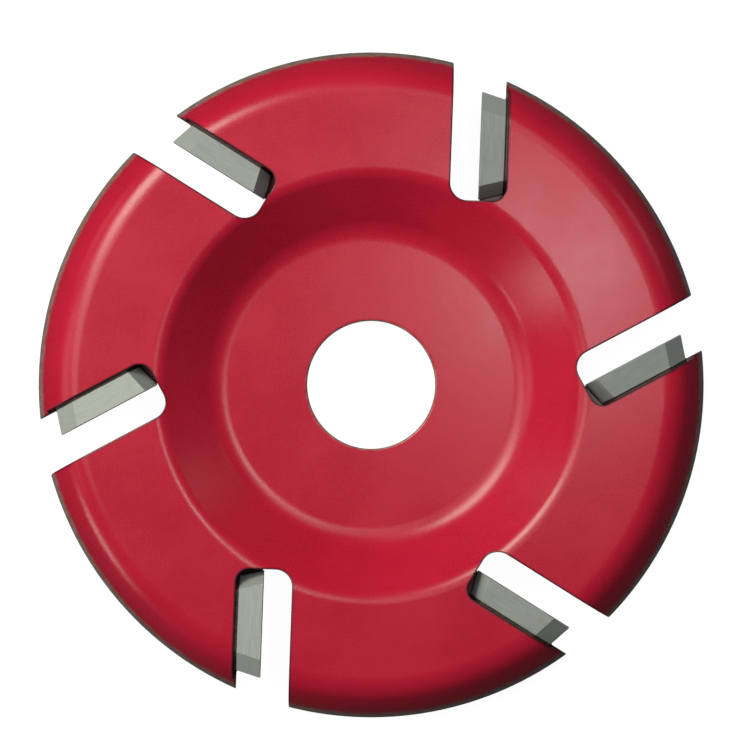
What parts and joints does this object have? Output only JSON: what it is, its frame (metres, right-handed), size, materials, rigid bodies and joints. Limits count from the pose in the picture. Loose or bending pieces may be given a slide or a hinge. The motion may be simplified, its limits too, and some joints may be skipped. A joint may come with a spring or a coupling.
{
  "type": "angle grinder carving disc",
  "caption": "Dished steel wood-carving disc with a recessed hub, open chip slots and brazed carbide teeth, clamped by its bore on an angle grinder spindle.",
  "frame": {"origin": "centre of the bore on the hub's back face, which is the lowest plane of the disc", "axes": "+Z along the spin axis towards the working face, +Y outwards along the first chip slot, +X to its right seen from the working face"},
  "size_m": [0.115, 0.115, 0.0148],
  "materials": {
    "body_paint": "satin red paint on turned steel, worn to metal along the rim",
    "carbide": "ground sintered carbide, satin grey with fine lengthwise grinding lines",
    "braze": "silver braze, dull and flux-stained"
  },
  "bodies": {
    "root": {"disc_body": "body_paint", "carbide_tooth_1": "carbide", "carbide_tooth_2": "carbide", "carbide_tooth_3": "carbide", "carbide_tooth_4": "carbide", "carbide_tooth_5": "carbide", "carbide_tooth_6": "carbide", "braze_foil_1": "braze", "braze_foil_2": "braze", "braze_foil_3": "braze", "braze_foil_4": "braze", "braze_foil_5": "braze", "braze_foil_6": "braze"}
  },
  "joints": []
}
